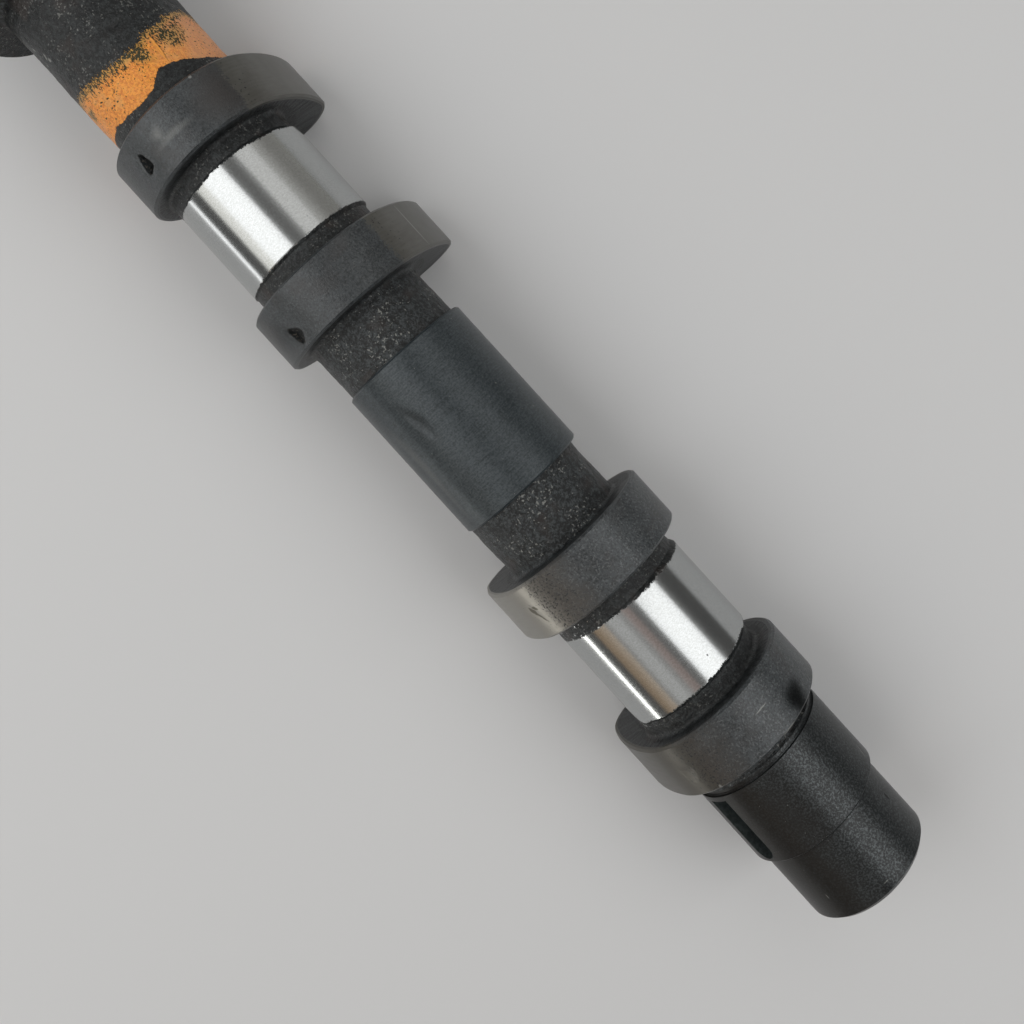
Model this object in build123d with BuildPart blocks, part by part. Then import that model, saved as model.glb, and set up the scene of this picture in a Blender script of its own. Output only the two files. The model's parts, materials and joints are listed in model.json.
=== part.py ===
from build123d import *
from math import atan2, cos, radians, sin, sqrt, tan
import os

os.makedirs("parts", exist_ok=True)

# Camshaft of a small overhead cam engine, with two lobes a cylinder and one bearing between them.
# It is one iron casting. Its journals, barrel, sprocket seat and nose are turned on the same piece.
# Millimetres. X runs along the shaft from the drive end to the tail, and Z is up as the shaft lies
# on its four lobe tips. The origin is the centre of the sprocket seat, on the shaft's axis.

# Drive end, turned
nose_step = 1.1
nose_length = 15.0
seat_radius = 13.8
seat_length = 15.7
groove_width = 0.5
groove_depth = 0.45
turned_chamfer = 0.35

# Keyway, milled into the sprocket seat
keyway_width = 4.4
keyway_depth = 2.6
keyway_angle = 57.0
keyway_back_land = 1.0
keyway_front_land = 0.9

# Bearings, ground between the lobes of each pair
journal_radius = 13.5
journal_length = 18.8
neck_undercut = 0.4
throat_length = 2.9
journal_pitch = 103.0

# Cam lobes
lobe_width = 10.8
lobe_spacing = 37.3
base_radius = 16.7
lift = 9.5
tip_radius = 6.6
flank_radius = 52.0
lobe_chamfer = 0.4
front_pair_angle = 135.0
tip_angle_between_pairs = 90.0

# Bar and barrel between the pairs
barrel_radius = 13.1
barrel_step = 1.0
barrel_length = 32.2
barrel_shift = 0.4

# Tail
tail_bar_radius = 13.1
tail_bar_length = 34.6
collar_radius = 20.3
collar_width = 8.0
collar_chamfer = 0.8
tail_journal_radius = 13.5
tail_journal_length = 16.0
end_chamfer = 0.8
cast_corner = 0.8

# Holes in the ends: a tapped one for the sprocket's bolt, and a plain centre at the tail
bolt_core_radius = 4.25
bolt_hole_depth = 24.0
bolt_mouth_radius = 5.6
centre_core_radius = 2.0
centre_hole_depth = 7.0
centre_mouth_radius = 4.2
centre_half_angle = 30.0
drill_half_angle = 59.0

# Radii that keep their step below a neighbour
nose_radius = seat_radius - nose_step
neck_radius = journal_radius - neck_undercut
bar_radius = barrel_radius - barrel_step

# Stations along the shaft
seat_front = -seat_length / 2
seat_back = seat_length / 2
nose_end = seat_front - nose_length
front_journal_x = seat_back + throat_length + (lobe_width + lobe_spacing) / 2
rear_journal_x = front_journal_x + journal_pitch
front_pair = [front_journal_x - lobe_spacing / 2, front_journal_x + lobe_spacing / 2]
rear_pair = [rear_journal_x - lobe_spacing / 2, rear_journal_x + lobe_spacing / 2]
barrel_middle = (front_journal_x + rear_journal_x) / 2 + barrel_shift
collar_front = rear_pair[1] + lobe_width / 2 + tail_bar_length
collar_back = collar_front + collar_width
tail_end = collar_back + tail_journal_length
rear_pair_angle = front_pair_angle + tip_angle_between_pairs
match_gap = 0.01


def around_axis(x, angle):
    """Plane square to the shaft at x, with its own x axis turned by angle from straight up."""
    up_turned = (0, sin(radians(angle)), cos(radians(angle)))
    return Plane(origin=(x, 0, 0), x_dir=up_turned, z_dir=(1, 0, 0))


def turn(start, end, radius):
    """Round stretch of the bar between two stations."""
    with BuildSketch(around_axis(start, 0)) as section:
        Circle(radius)
    extrude(section.sketch, amount=end - start)


def bearing(middle, from_x, to_x):
    """Ground journal, with the rough neck that runs past it on both sides."""
    turn(from_x, to_x, neck_radius)
    turn(middle - journal_length / 2, middle + journal_length / 2, journal_radius)


def cam_outline():
    """Cam outline with its tip along the sketch's x axis: base, two convex flanks and the tip.

    Each flank arc touches the base circle and the tip circle from outside, so both centres lie
    on the lines from the flank's centre to the points where the arcs meet.
    """
    tip_centre = base_radius + lift - tip_radius
    to_base = flank_radius - base_radius
    to_tip = flank_radius - tip_radius
    along = (to_base**2 - to_tip**2 + tip_centre**2) / (2 * tip_centre)
    below = -sqrt(to_base**2 - along**2)
    base_angle = atan2(-below, -along)
    tip_angle = atan2(-below, tip_centre - along)
    middle_angle = (base_angle + tip_angle) / 2

    def on_flank(angle, side):
        return (
            along + flank_radius * cos(angle),
            side * (below + flank_radius * sin(angle)),
        )

    with BuildLine() as outline:
        ThreePointArc(
            on_flank(tip_angle, -1),
            (tip_centre + tip_radius, 0),
            on_flank(tip_angle, 1),
        )
        ThreePointArc(
            on_flank(tip_angle, 1),
            on_flank(middle_angle, 1),
            on_flank(base_angle, 1),
        )
        ThreePointArc(on_flank(base_angle, 1), (-base_radius, 0), on_flank(base_angle, -1))
        ThreePointArc(
            on_flank(base_angle, -1),
            on_flank(middle_angle, -1),
            on_flank(tip_angle, -1),
        )
    return outline.edges()


def add_lobe(part, x, angle):
    """Lobe across the bar at x, with the sharp edges of its outline taken off."""
    with BuildSketch(around_axis(x - lobe_width / 2, angle)) as section:
        make_face(cam_outline())
    extrude(section.sketch, amount=lobe_width)
    for side in (x - lobe_width / 2, x + lobe_width / 2):
        rim = [edge for edge in edges_at(part, side) if is_outside(edge, journal_radius)]
        chamfer(rim, length=lobe_chamfer)


def edges_at(part, x):
    """Edges that lie in the plane square to the shaft at x."""
    return part.edges().filter_by_position(Axis.X, x - match_gap, x + match_gap)


def is_outside(edge, radius):
    """True where every point of the edge is further from the axis than radius."""
    return all(hypot_yz(edge.position_at(share)) > radius + match_gap for share in (0, 0.5))


def hypot_yz(point):
    """Distance of a point from the shaft's axis."""
    return sqrt(point.Y**2 + point.Z**2)


def edge_with(part, x, radius):
    """The circle of this radius at this station."""
    circles = edges_at(part, x).filter_by(GeomType.CIRCLE)
    return [edge for edge in circles if abs(edge.radius - radius) < match_gap]


def end_hole(face_x, inwards, mouth_radius, core_radius, depth):
    """Centred hole with a coned mouth and a drill's point, cut into one end."""
    mouth_depth = (mouth_radius - core_radius) / tan(radians(centre_half_angle))
    point_depth = core_radius / tan(radians(drill_half_angle))
    with BuildSketch(Plane.XZ) as section:
        with BuildLine():
            Polyline(
                (face_x, 0),
                (face_x, mouth_radius),
                (face_x + inwards * mouth_depth, core_radius),
                (face_x + inwards * depth, core_radius),
                (face_x + inwards * (depth + point_depth), 0),
                close=True,
            )
        make_face()
    revolve(section.sketch, axis=Axis.X, mode=Mode.SUBTRACT)


# Camshaft
with BuildPart() as camshaft:
    turn(nose_end, seat_front, nose_radius)
    turn(seat_front, seat_back - groove_width, seat_radius)
    turn(seat_back - groove_width, seat_back, seat_radius - groove_depth)
    bearing(front_journal_x, seat_back, front_pair[1])
    turn(front_pair[1], rear_pair[0], bar_radius)
    turn(barrel_middle - barrel_length / 2, barrel_middle + barrel_length / 2, barrel_radius)
    bearing(rear_journal_x, rear_pair[0], rear_pair[1])
    turn(rear_pair[1], collar_front, tail_bar_radius)
    turn(collar_front, collar_back, collar_radius)
    turn(collar_back, tail_end, tail_journal_radius)

    for lobe_x in front_pair:
        add_lobe(camshaft, lobe_x, front_pair_angle)
    for lobe_x in rear_pair:
        add_lobe(camshaft, lobe_x, rear_pair_angle)

    # Corners left full where the bar runs into the lobes and the collar
    half = lobe_width / 2
    roots = edge_with(camshaft, front_pair[0] - half, neck_radius)
    roots += edge_with(camshaft, front_pair[0] + half, neck_radius)
    roots += edge_with(camshaft, front_pair[1] - half, neck_radius)
    roots += edge_with(camshaft, front_pair[1] + half, bar_radius)
    roots += edge_with(camshaft, rear_pair[0] - half, bar_radius)
    roots += edge_with(camshaft, rear_pair[0] + half, neck_radius)
    roots += edge_with(camshaft, rear_pair[1] - half, neck_radius)
    roots += edge_with(camshaft, rear_pair[1] + half, tail_bar_radius)
    roots += edge_with(camshaft, collar_front, tail_bar_radius)
    chamfer(roots, length=cast_corner)

    # Small chamfers that the turning tool leaves
    turned_rims = edge_with(camshaft, seat_front, seat_radius)
    turned_rims += edge_with(camshaft, barrel_middle - barrel_length / 2, barrel_radius)
    turned_rims += edge_with(camshaft, barrel_middle + barrel_length / 2, barrel_radius)
    chamfer(turned_rims, length=turned_chamfer)
    collar_rims = edge_with(camshaft, collar_front, collar_radius)
    collar_rims += edge_with(camshaft, collar_back, collar_radius)
    chamfer(collar_rims, length=collar_chamfer)
    end_rims = edge_with(camshaft, nose_end, nose_radius)
    end_rims += edge_with(camshaft, tail_end, tail_journal_radius)
    chamfer(end_rims, length=end_chamfer)

    # Keyway: square at the back, rounded by the cutter at the front
    outward = (0, sin(radians(keyway_angle)), cos(radians(keyway_angle)))
    keyway_floor = Plane(origin=(0, 0, 0), x_dir=(1, 0, 0), z_dir=outward)
    cutter_x = seat_front + keyway_front_land + keyway_width / 2
    keyway_back = seat_back - groove_width - keyway_back_land
    with BuildSketch(keyway_floor.offset(seat_radius - keyway_depth)):
        with Locations((cutter_x, 0)):
            Circle(keyway_width / 2)
        with Locations(((cutter_x + keyway_back) / 2, 0)):
            Rectangle(keyway_back - cutter_x, keyway_width)
    extrude(amount=2 * keyway_depth, mode=Mode.SUBTRACT)

    end_hole(nose_end, 1, bolt_mouth_radius, bolt_core_radius, bolt_hole_depth)
    end_hole(tail_end, -1, centre_mouth_radius, centre_core_radius, centre_hole_depth)

camshaft.part.label = "camshaft"
export_step(camshaft.part, "parts/camshaft.step")
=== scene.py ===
# %% [markdown]
# # A camshaft, cast in iron and ground on its bearings
# The shaft is one casting: four lobes, two ground journals, a turned barrel, a keyed seat for the
# sprocket and a plain nose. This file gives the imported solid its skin: lumpy raw iron, bright
# ground bands with ragged edges, dark coated lobes with worn tips, brushed paint and the marks of
# use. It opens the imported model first, because the journals and the ends are read from it.

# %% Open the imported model
import json
import math

import bmesh
import bpy
import numpy as np
from mathutils import Matrix, Vector


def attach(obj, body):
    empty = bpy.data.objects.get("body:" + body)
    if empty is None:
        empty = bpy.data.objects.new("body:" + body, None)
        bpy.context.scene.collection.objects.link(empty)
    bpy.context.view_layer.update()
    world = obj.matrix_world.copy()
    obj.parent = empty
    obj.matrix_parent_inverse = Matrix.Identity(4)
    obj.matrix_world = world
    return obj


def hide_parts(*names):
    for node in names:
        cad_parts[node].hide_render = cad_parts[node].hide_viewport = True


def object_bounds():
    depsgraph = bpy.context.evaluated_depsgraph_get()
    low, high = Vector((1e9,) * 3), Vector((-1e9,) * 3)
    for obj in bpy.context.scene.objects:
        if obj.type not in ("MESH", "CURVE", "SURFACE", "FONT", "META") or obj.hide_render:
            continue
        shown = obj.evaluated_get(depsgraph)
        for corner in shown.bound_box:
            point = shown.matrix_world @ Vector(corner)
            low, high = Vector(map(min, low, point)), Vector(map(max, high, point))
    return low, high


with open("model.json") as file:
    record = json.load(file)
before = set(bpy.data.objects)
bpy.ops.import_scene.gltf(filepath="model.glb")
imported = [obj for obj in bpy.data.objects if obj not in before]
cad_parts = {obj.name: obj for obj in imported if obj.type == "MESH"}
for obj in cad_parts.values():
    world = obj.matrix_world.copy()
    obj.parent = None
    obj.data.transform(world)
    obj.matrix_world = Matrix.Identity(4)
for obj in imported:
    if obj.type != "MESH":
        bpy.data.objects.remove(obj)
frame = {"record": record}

cad_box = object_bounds()
print("solid box", [round(v, 4) for v in (*cad_box[0], *cad_box[1])])

# %% [markdown]
# Blender works in metres and a machinist in millimetres, so sizes are written in millimetres and
# multiplied once. The stations come from the record's mounts: the seat is the origin, and both
# journals are named there. Most other sizes repeat the solid's. The finest, such as those of the
# groove, the land behind it and the thread, are this file's own.

# %% Sizes and stations
MM = 0.001
mounts = {mount["name"]: mount for mount in frame["record"]["mounts"]}
SEAT_R = mounts["sprocket_seat"]["dims"]["r_mm"]
NOSE_R = mounts["drive_nose"]["dims"]["r_mm"]
JOURNAL_R = mounts["tail_journal"]["dims"]["r_mm"]
FRONT_JOURNAL_X = mounts["front_journal"]["pos_m"][0] / MM
REAR_JOURNAL_X = mounts["rear_journal"]["pos_m"][0] / MM
NOSE_END = cad_box[0].x / MM
TAIL_END = cad_box[1].x / MM
FLOOR_Z = cad_box[0].z

SEAT_HALF = 7.85
GROOVE_WIDTH, GROOVE_DEPTH = 0.3, 0.4
LAND_WIDTH, LAND_R = 0.6, 13.3
RELIEF_WIDTH, RELIEF_DEPTH = 0.25, 0.3
TURNED_CHAMFER, END_CHAMFER = 0.35, 0.8
THREAD_CREST_R, THREAD_ROOT_R, THREAD_PITCH = 4.25, 4.9, 1.25
THREAD_DEPTH, THREAD_START = 20.0, 1.6
JOURNAL_HALF = 9.4
NECK_R, BAR_R, BARREL_R, TAIL_BAR_R = 13.1, 12.1, 13.1, 13.1
BARREL_HALF = 16.1
BARREL_X = (FRONT_JOURNAL_X + REAR_JOURNAL_X) / 2 + 0.4
LOBE_WIDTH, LOBE_SPACING = 10.8, 37.3
BASE_R, LIFT, TIP_R, FLANK_R = 16.7, 9.5, 6.6, 52.0
COLLAR_R, COLLAR_WIDTH = 20.3, 8.0
FRONT_TIP, REAR_TIP = math.radians(135), math.radians(225)
FRONT_LOBES = [FRONT_JOURNAL_X - LOBE_SPACING / 2, FRONT_JOURNAL_X + LOBE_SPACING / 2]
REAR_LOBES = [REAR_JOURNAL_X - LOBE_SPACING / 2, REAR_JOURNAL_X + LOBE_SPACING / 2]
COLLAR_BACK = TAIL_END - 16.0
COLLAR_FRONT = COLLAR_BACK - COLLAR_WIDTH
print("journals at", FRONT_JOURNAL_X, REAR_JOURNAL_X, "collar at", round(COLLAR_FRONT, 2))

# %% [markdown]
# ## The camera
# The photograph looks almost straight down, from about 20 cm, so the far end shrinks a little and
# the sides of the lobes show. It is the lower part of a taller frame, which a vertical shift of
# the lens stands for.

# %% Camera
EYE = Vector((88.685, -18.747, 196.758)) * MM
AIM = Vector((91.136, -16.166, 0.0)) * MM
ROLL = math.radians(132.352)
LENS, SENSOR = 37.593, 36.0
OPTICAL_ROW, IMAGE_ROWS = 341.5, 1024


def in_scene(name, data):
    """New object at the origin, in the scene."""
    made = bpy.data.objects.new(name, data)
    bpy.context.collection.objects.link(made)
    return made


def aimed(eye, aim, roll):
    """World matrix of a camera at eye that looks at aim, turned by roll from the row's +Y."""
    ahead = (aim - eye).normalized()
    level_up = (Vector((0, 1, 0)) - ahead * ahead.y).normalized()
    level_right = ahead.cross(level_up)
    up = level_up * math.cos(roll) + level_right * math.sin(roll)
    axes = Matrix((ahead.cross(up), up, -ahead)).transposed()
    return Matrix.Translation(eye) @ axes.to_4x4()


lens = bpy.data.cameras.new("photo_camera")
lens.lens, lens.sensor_width = LENS, SENSOR
lens.shift_y = (OPTICAL_ROW - IMAGE_ROWS / 2) / IMAGE_ROWS
lens.clip_start = 0.01
camera = in_scene("photo_camera", lens)
camera.matrix_world = aimed(EYE, AIM, ROLL)
bpy.context.scene.camera = camera
print("camera", [round(v, 3) for v in EYE], "shift", round(lens.shift_y, 4))

# %% [markdown]
# ## Writing node trees as arithmetic
# A casting is easier to describe in formulas than in boxes and wires. `Wire` wraps one socket and
# turns `a * b + 1` into Math nodes, and `Tree.node` makes any other node. Both serve geometry and
# shaders alike. A finished modifier is worked into a plain mesh, which is easier to hand on.

# %% Node trees as expressions
class Wire:
    """One output socket, or what arithmetic on it gives."""

    def __init__(self, tree, socket):
        self.tree, self.socket = tree, socket

    def math(self, operation, *others):
        return self.tree.node("ShaderNodeMath", {"operation": operation}, [self, *others])


def operator(operation, reflected=False):
    """Method of a wire for one of Python's operators. Reflected serves 1 - wire."""
    def method(wire, other):
        values = [other, wire] if reflected else [wire, other]
        return wire.tree.node("ShaderNodeMath", {"operation": operation}, values)
    return method


OPERATIONS = {"add": "ADD", "sub": "SUBTRACT", "mul": "MULTIPLY", "truediv": "DIVIDE"}
for name, operation in OPERATIONS.items():
    setattr(Wire, f"__{name}__", operator(operation))
    setattr(Wire, f"__r{name}__", operator(operation, reflected=True))
Wire.__lt__, Wire.__gt__ = operator("LESS_THAN"), operator("GREATER_THAN")
print("wires can", *OPERATIONS)

# %% A tree and its nodes
class Tree:
    """A node tree, with one method that makes a node and wires it."""

    def __init__(self, group):
        self.group = group

    def node(self, kind, settings=None, values=(), output=0):
        made = self.group.nodes.new(kind)
        for name, value in (settings or {}).items():
            setattr(made, name, value)
        pairs = values.items() if isinstance(values, dict) else enumerate(values)
        for name, value in pairs:
            if isinstance(value, Wire):
                self.group.links.new(value.socket, made.inputs[name])
            else:
                made.inputs[name].default_value = value
        return Wire(self, made.outputs[output])

    def smooth(self, value, low, high):
        """0 below low, 1 above high, with a soft step between."""
        settings = {"interpolation_type": "SMOOTHSTEP"}
        return self.node("ShaderNodeMapRange", settings, [value, low, high, 0.0, 1.0])


def open_group(name, inputs):
    """Geometry Nodes tree with named number inputs, and the wires that bring them in."""
    group = bpy.data.node_groups.new(name, "GeometryNodeTree")
    for way in ("INPUT", "OUTPUT"):
        group.interface.new_socket("Geometry", in_out=way, socket_type="NodeSocketGeometry")
    for given in inputs:
        group.interface.new_socket(given, in_out="INPUT", socket_type="NodeSocketFloat")
    tree = Tree(group)
    entry = group.nodes.new("NodeGroupInput")
    return tree, {socket.name: Wire(tree, socket) for socket in entry.outputs}


def close_group(tree, body):
    """Leads the finished geometry out of the tree."""
    leave = tree.group.nodes.new("NodeGroupOutput")
    tree.group.links.new(body.socket, leave.inputs[0])
    return tree.group


print("trees can be opened, filled and closed")

# %% From a modifier to a plain mesh
def plain_mesh(thing):
    """What the object's modifiers make of it, as a mesh of its own. They are then removed."""
    ready = thing.evaluated_get(bpy.context.evaluated_depsgraph_get())
    mesh = bpy.data.meshes.new_from_object(ready)
    thing.modifiers.clear()
    return mesh


def grown(thing, group, inputs):
    """The plain mesh that a Geometry Nodes tree makes of the object, once its inputs are set."""
    modifier = thing.modifiers.new(group.name, "NODES")
    modifier.node_group = group
    sockets = {item.name: item for item in group.interface.items_tree if item.in_out == "INPUT"}
    for name, value in inputs.items():
        modifier[sockets[name].identifier] = value
    return plain_mesh(thing)


print("modifiers can be worked into meshes")

# %% [markdown]
# ## The sleeve
# A shaft that is turned, with cams on it, can be told ring by ring. Each ring has a station, the
# radius of the bar there, how far it has grown into a cam, and which way that cam's tip points.
# The rings are laid close where the iron is rough or an edge runs ragged, and wide where a tool
# left it true. The sleeve itself is a plain tube: the next step bends it into shape.

# %% Rings of the sleeve
DRIVE, TURNED, RAW, BEARING, LOBE, PAINTED = range(6)
FIELDS = ("bar_mm", "share", "inset_mm", "tip", "raw", "ground")
rings = []


def ring(x, bar, finish, share=0.0, inset=0.0, tip=0.0, raw=0.0, ground=0.0):
    """One ring: station, bar radius, then what the shaping tree reads by the names in FIELDS."""
    rings.append((x, finish, bar, share, inset, tip, raw, ground))


def stretch(start, end, bar, finish, step, raw=0.0):
    """Rings at even steps from start to end, both ends included."""
    count = max(1, round(abs(end - start) / step))
    for index in range(count + 1):
        ring(start + (end - start) * index / count, bar, finish, raw=raw)


def corners(finish, *places):
    """Rings at the corners of a turned profile, each a station and a radius."""
    for x, radius in places:
        ring(x, radius, finish)


print("a ring carries", *FIELDS)

# %% Rings over a lobe
ROOT, ROOT_GAP = 0.8, 0.4
ROOT_TURNS = (0.15, 0.35, 0.6, 0.85, 1.0)


def root(wall_x, side, bar, finish):
    """Quarter-round corner between the bar and a wall, walked along the shaft."""
    for turn in ROOT_TURNS[::-side]:
        angle = turn * math.pi / 2
        away = ROOT * (1 - math.sin(angle))
        ring(wall_x + side * away, bar + ROOT * (1 - math.cos(angle)), finish, raw=1.0)


SIDE_SHARES = (0.3, 0.62, 0.88)
CHAMFER = 0.4
RUN_STEPS = 20


def lobe(middle, tip, before, after, finish_before, finish_after):
    """Rings over one lobe: up its front side, along its running face and down its back."""
    front, back = middle - LOBE_WIDTH / 2, middle + LOBE_WIDTH / 2
    root(front, -1, before, finish_before)
    for share in SIDE_SHARES:
        ring(front, before + ROOT, LOBE, share, CHAMFER, tip, 0.3)
    ring(front, before, LOBE, 1.0, CHAMFER, tip)
    for index in range(RUN_STEPS + 1):
        x = front + CHAMFER + (LOBE_WIDTH - 2 * CHAMFER) * index / RUN_STEPS
        ring(x, before, LOBE, 1.0, 0.0, tip)
    ring(back, after, LOBE, 1.0, CHAMFER, tip)
    for share in reversed(SIDE_SHARES):
        ring(back, after + ROOT, LOBE, share, CHAMFER, tip, 0.3)
    root(back, 1, after, finish_after)


print("a lobe is", len(SIDE_SHARES) * 2 + RUN_STEPS + 3, "rings and two roots")

# %% Rings over a bearing
STOCK_R, STOCK_RISE, STOCK_PAST = 14.9, 2.0, 0.55
RAGGED_REACH, RAGGED_STEP, RAGGED_GAP = 1.4, 0.28, 0.25
BAND_RINGS = 13


def bearing(middle, front, back, front_raw=1.0):
    """Rings from root to root. The iron swells above its ground size before it is ground."""
    edge = JOURNAL_HALF - RAGGED_REACH
    start, end = front + ROOT + RAGGED_GAP, back - ROOT - RAGGED_GAP
    places = list(np.arange(start, middle - edge, RAGGED_STEP))
    places += list(np.linspace(middle - edge, middle + edge, BAND_RINGS))
    places += list(np.arange(end, middle + edge, -RAGGED_STEP))[::-1]
    for x in places:
        inside = (JOURNAL_HALF + STOCK_PAST - abs(x - middle)) / STOCK_RISE
        rise = min(1.0, max(0.0, inside))
        raw = 1.0 if x > middle else front_raw
        ring(x, NECK_R + (STOCK_R - NECK_R) * rise, BEARING, raw=raw, ground=1.0)


print("stock stands", round(STOCK_R - JOURNAL_R, 2), "mm over the ground size")

# %% The whole shaft, ring by ring
# Mouth radius, core radius, depth and drill point of the hole in each end
BOLT_HOLE = (5.6, THREAD_ROOT_R, 24.0, 2.5)
CENTRE_HOLE = (4.2, 2.0, 7.0, 1.2)
MOUTH_HALF_ANGLE = math.radians(30)


def end_face(x, outer, hole, side, finish):
    """Rings from the bottom of an end hole out over the face, or back when side is 1."""
    mouth, core, depth, point = hole
    cone = (mouth - core) / math.tan(MOUTH_HALF_ANGLE)
    walk = [(depth + point, 0.02), (depth, core), ((depth + cone) / 2, core), (cone, core)]
    walk += [(0.0, mouth), (0.0, (mouth + outer) / 2)]
    walk += [(0.0, outer - END_CHAMFER), (END_CHAMFER, outer)]
    corners(finish, *((x - side * inwards, radius) for inwards, radius in walk[::-side]))


def lay_rings():
    """The whole shaft from the drive end to the tail."""
    half, past_root = LOBE_WIDTH / 2, ROOT + ROOT_GAP
    relief, groove = -SEAT_HALF - RELIEF_WIDTH, SEAT_HALF - GROOVE_WIDTH
    end_face(NOSE_END, NOSE_R, BOLT_HOLE, -1, DRIVE)
    stretch(NOSE_END + 1.2, relief - 0.3, NOSE_R, DRIVE, step=0.9)
    corners(DRIVE, (relief, NOSE_R), (relief, NOSE_R - RELIEF_DEPTH),
            (-SEAT_HALF, NOSE_R - RELIEF_DEPTH), (-SEAT_HALF, SEAT_R - TURNED_CHAMFER),
            (-SEAT_HALF + TURNED_CHAMFER, SEAT_R))
    stretch(-SEAT_HALF + 0.7, groove - 0.25, SEAT_R, DRIVE, step=0.75)
    bottom = SEAT_R - GROOVE_DEPTH
    corners(DRIVE, (groove, SEAT_R), (groove, bottom), (SEAT_HALF, bottom),
            (SEAT_HALF, LAND_R), (SEAT_HALF + LAND_WIDTH, LAND_R))
    ring(SEAT_HALF + LAND_WIDTH + 0.05, LAND_R, RAW, raw=0.3)
    throat_end = FRONT_LOBES[0] - half - ROOT - 0.2
    stretch(SEAT_HALF + LAND_WIDTH + 0.4, throat_end, NECK_R, RAW, step=0.35, raw=1.0)
    lobe(FRONT_LOBES[0], FRONT_TIP, NECK_R, NECK_R, RAW, BEARING)
    bearing(FRONT_JOURNAL_X, FRONT_LOBES[0] + half, FRONT_LOBES[1] - half)
    lobe(FRONT_LOBES[1], FRONT_TIP, NECK_R, BAR_R, BEARING, RAW)
    front, back = BARREL_X - BARREL_HALF, BARREL_X + BARREL_HALF
    stretch(FRONT_LOBES[1] + half + past_root, front - 0.1, BAR_R, RAW, step=0.5, raw=1.0)
    rim = BARREL_R - TURNED_CHAMFER
    corners(TURNED, (front, BAR_R), (front, rim), (front + TURNED_CHAMFER, BARREL_R))
    stretch(front + 0.7, back - 0.7, BARREL_R, TURNED, step=0.8)
    corners(TURNED, (back - TURNED_CHAMFER, BARREL_R), (back, rim), (back, BAR_R))
    stretch(back + 0.1, REAR_LOBES[0] - half - past_root, BAR_R, RAW, step=0.5, raw=1.0)
    lobe(REAR_LOBES[0], REAR_TIP, BAR_R, NECK_R, RAW, BEARING)
    bearing(REAR_JOURNAL_X, REAR_LOBES[0] + half, REAR_LOBES[1] - half, front_raw=0.5)
    lobe(REAR_LOBES[1], REAR_TIP, NECK_R, TAIL_BAR_R, BEARING, PAINTED)
    bar_start, bar_end = REAR_LOBES[1] + half + past_root, COLLAR_FRONT - past_root
    stretch(bar_start, bar_end, TAIL_BAR_R, PAINTED, step=0.55, raw=1.0)
    root(COLLAR_FRONT, -1, TAIL_BAR_R, RAW)
    ring(COLLAR_FRONT, (TAIL_BAR_R + COLLAR_R) / 2, RAW, raw=0.6)
    ring(COLLAR_FRONT, COLLAR_R - END_CHAMFER, RAW, raw=0.4)
    stretch(COLLAR_FRONT + END_CHAMFER, COLLAR_BACK - END_CHAMFER, COLLAR_R, TURNED, step=1.1)
    corners(TURNED, (COLLAR_BACK, COLLAR_R - END_CHAMFER),
            (COLLAR_BACK, (JOURNAL_R + COLLAR_R) / 2), (COLLAR_BACK, JOURNAL_R))
    stretch(COLLAR_BACK + 0.3, TAIL_END - 1.2, JOURNAL_R, TURNED, step=1.4)
    end_face(TAIL_END, JOURNAL_R, CENTRE_HOLE, 1, TURNED)


lay_rings()
AROUND = 200
print(len(rings), "rings of", AROUND, "points:", 2 * len(rings) * AROUND, "triangles")

# %% Sleeve mesh
def sleeve_mesh():
    """Tube of unit radius through every ring, with the ring's data on its points."""
    count = len(rings)
    table = np.array(rings)
    turn = np.linspace(0, 2 * math.pi, AROUND, endpoint=False)
    x = np.repeat(table[:, 0] * MM, AROUND)
    turns = np.tile(turn, count)
    radius = np.repeat(table[:, 2] * MM, AROUND)
    points = np.stack([x, radius * np.sin(turns), radius * np.cos(turns)], 1)
    ends = [[table[0, 0] * MM, 0, 0], [table[-1, 0] * MM, 0, 0]]
    column = np.arange(AROUND)
    after = (column + 1) % AROUND
    first = np.arange(count - 1)[:, None] * AROUND
    a, b = first + column, first + after
    faces = np.stack([a, b, b + AROUND, a + AROUND], -1).reshape(-1, 4).tolist()
    finishes = np.repeat(np.minimum(table[:-1, 1], table[1:, 1]), AROUND).astype(int).tolist()
    last = (count - 1) * AROUND
    for column in range(AROUND):
        after = (column + 1) % AROUND
        faces.append((after, column, count * AROUND))
        faces.append((last + column, last + after, count * AROUND + 1))
        finishes += [DRIVE, TURNED]
    mesh = bpy.data.meshes.new("camshaft_sleeve")
    mesh.from_pydata([*points.tolist(), *ends], [], faces)
    for name, values in zip(FIELDS, table[:, 2:].T):
        add_values(mesh, name, np.append(np.repeat(values, AROUND), [0, 0]))
    add_values(mesh, "turn", np.append(turns, [0, 0]))
    kinds = mesh.attributes.new("finish", "INT", "FACE")
    kinds.data.foreach_set("value", finishes)
    return mesh


def add_values(mesh, name, values):
    """Stores one number on every point of the mesh, under a name."""
    layer = mesh.attributes.new(name, "FLOAT", "POINT")
    layer.data.foreach_set("value", np.asarray(values, dtype=np.float32))


sleeve = in_scene("camshaft_casting", sleeve_mesh())
print("sleeve points", len(sleeve.data.vertices))

# %% [markdown]
# ## Bending the sleeve into a camshaft
# A cam's outline follows a rule: a base circle, a small tip circle, and a flank arc that touches
# both. A ray from the axis meets one of the three, so its length can be worked out at any angle,
# and Geometry Nodes does so for every point at once. The same tree lays the cast skin on the raw
# stretches and grinds the bearings: the iron is left lumpy first, and what stands above the
# grinding radius is cut back to it, which is how the ragged ends of a ground band come about.

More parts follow.
